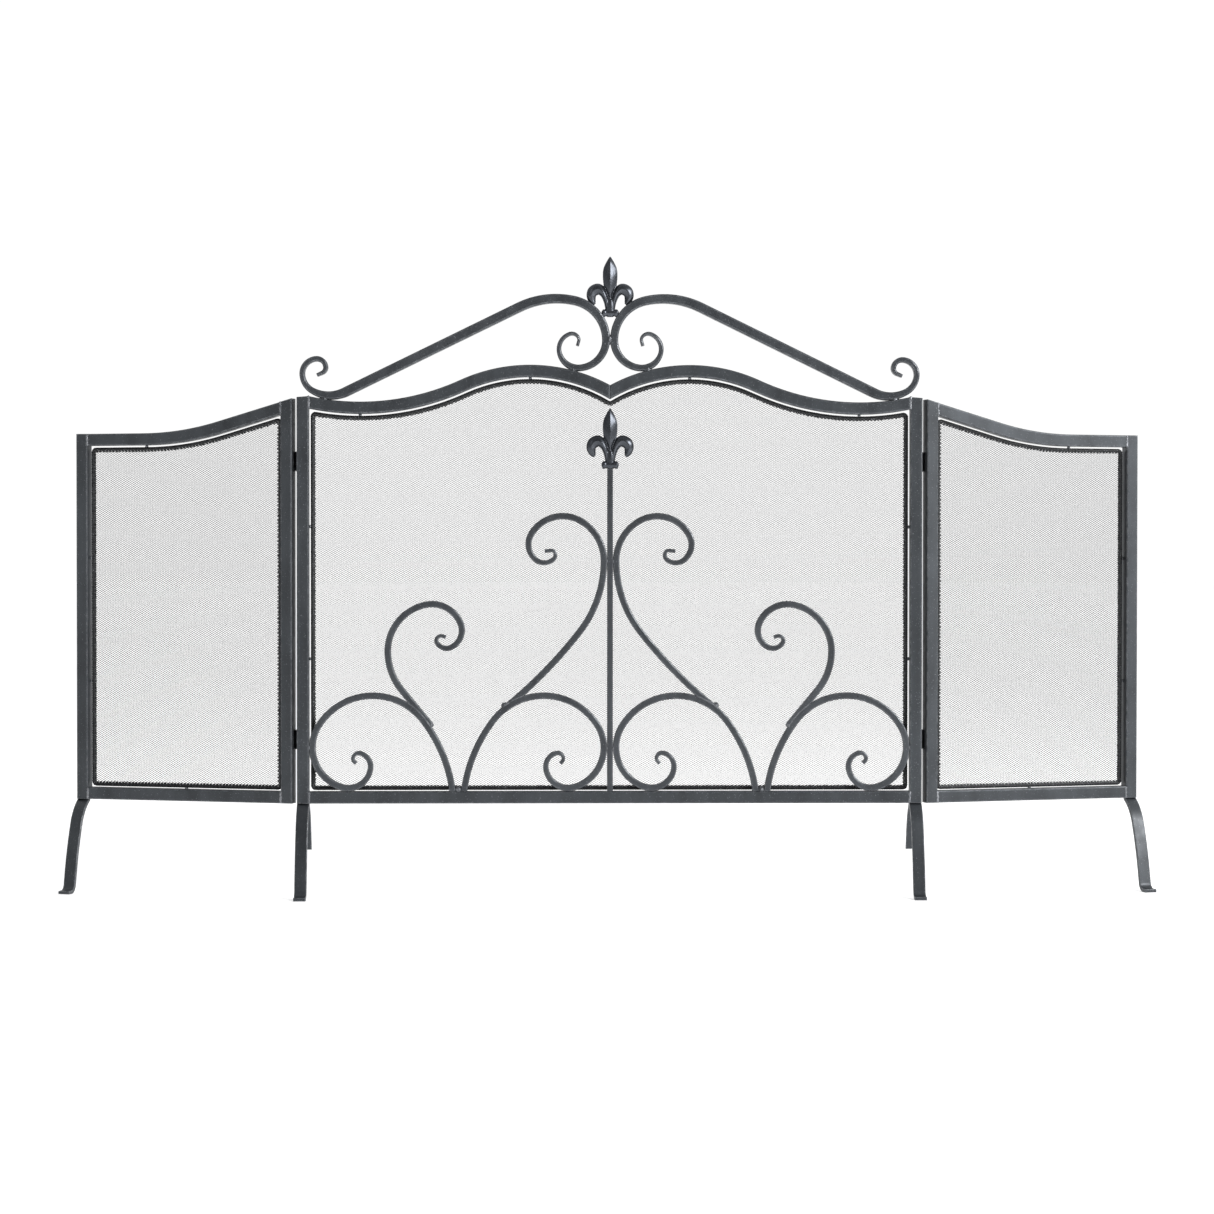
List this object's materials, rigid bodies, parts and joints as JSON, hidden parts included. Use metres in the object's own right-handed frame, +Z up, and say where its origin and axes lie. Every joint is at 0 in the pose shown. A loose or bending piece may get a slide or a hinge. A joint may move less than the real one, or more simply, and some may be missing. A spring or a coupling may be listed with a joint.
{
  "type": "folding fireplace screen",
  "caption": "Free-standing folding fireplace screen: mesh in a tube frame with scrollwork and finials, and two hinged side wings.",
  "frame": {"origin": "on the floor, under the middle of the box that holds the whole screen as it stands, wings folded back 16 degrees", "axes": "+X to the viewer's right along the centre panel, +Y to the back towards the fire, +Z up; the decorated front faces -Y"},
  "size_m": [1.3754, 0.1482, 0.7918],
  "materials": {
    "frame_steel": "satin dark gunmetal paint on welded steel tube and bar",
    "mesh_rim_steel": "dark painted rod with weld tacks",
    "mesh_steel": "fine woven steel mesh cloth, painted dark",
    "finial_iron": "cast, painted and rubbed to a soft shine",
    "hinge_steel": "painted steel butt hinge"
  },
  "bodies": {
    "centre_panel": {"centre_left_stile": "frame_steel", "centre_right_stile": "frame_steel", "centre_bottom_rail": "frame_steel", "centre_left_top_rail": "frame_steel", "centre_right_top_rail": "frame_steel", "centre_mesh_rim": "mesh_rim_steel", "centre_mesh": "mesh_steel", "centre_rim_tacks": "mesh_rim_steel", "centre_left_front_foot": "frame_steel", "centre_right_front_foot": "frame_steel", "centre_left_rear_leg": "frame_steel", "centre_right_rear_leg": "frame_steel", "upright_bar": "frame_steel", "left_outer_c_scroll": "frame_steel", "left_inner_c_scroll": "frame_steel", "left_tall_s_scroll": "frame_steel", "left_short_s_scroll": "frame_steel", "right_outer_c_scroll": "frame_steel", "right_inner_c_scroll": "frame_steel", "right_tall_s_scroll": "frame_steel", "right_short_s_scroll": "frame_steel", "scroll_welds": "frame_steel", "crest_left_scroll": "frame_steel", "crest_right_scroll": "frame_steel", "crest_welds": "frame_steel", "bar_finial": "finial_iron", "crest_finial": "finial_iron", "left_hinge_frame_leaves": "hinge_steel", "left_hinge_pins": "hinge_steel", "right_hinge_frame_leaves": "hinge_steel", "right_hinge_pins": "hinge_steel"},
    "left_wing": {"left_wing_inner_stile": "frame_steel", "left_wing_outer_stile": "frame_steel", "left_wing_bottom_rail": "frame_steel", "left_wing_top_rail": "frame_steel", "left_wing_mesh_rim": "mesh_rim_steel", "left_wing_mesh": "mesh_steel", "left_wing_rim_tacks": "mesh_rim_steel", "left_wing_front_foot": "frame_steel", "left_hinge_wing_leaves": "hinge_steel"},
    "right_wing": {"right_wing_inner_stile": "frame_steel", "right_wing_outer_stile": "frame_steel", "right_wing_bottom_rail": "frame_steel", "right_wing_top_rail": "frame_steel", "right_wing_mesh_rim": "mesh_rim_steel", "right_wing_mesh": "mesh_steel", "right_wing_rim_tacks": "mesh_rim_steel", "right_wing_front_foot": "frame_steel", "right_hinge_wing_leaves": "hinge_steel"}
  },
  "joints": [
    {"name": "left_wing_hinge", "type": "hinge", "parent": "centre_panel", "child": "left_wing", "pos_m": [-0.38875, -0.00361, 0.367], "axis": [0, 0, -1], "range_deg": [-16, 164]},
    {"name": "right_wing_hinge", "type": "hinge", "parent": "centre_panel", "child": "right_wing", "pos_m": [0.38875, -0.00361, 0.367], "axis": [0, 0, 1], "range_deg": [-16, 164]}
  ]
}
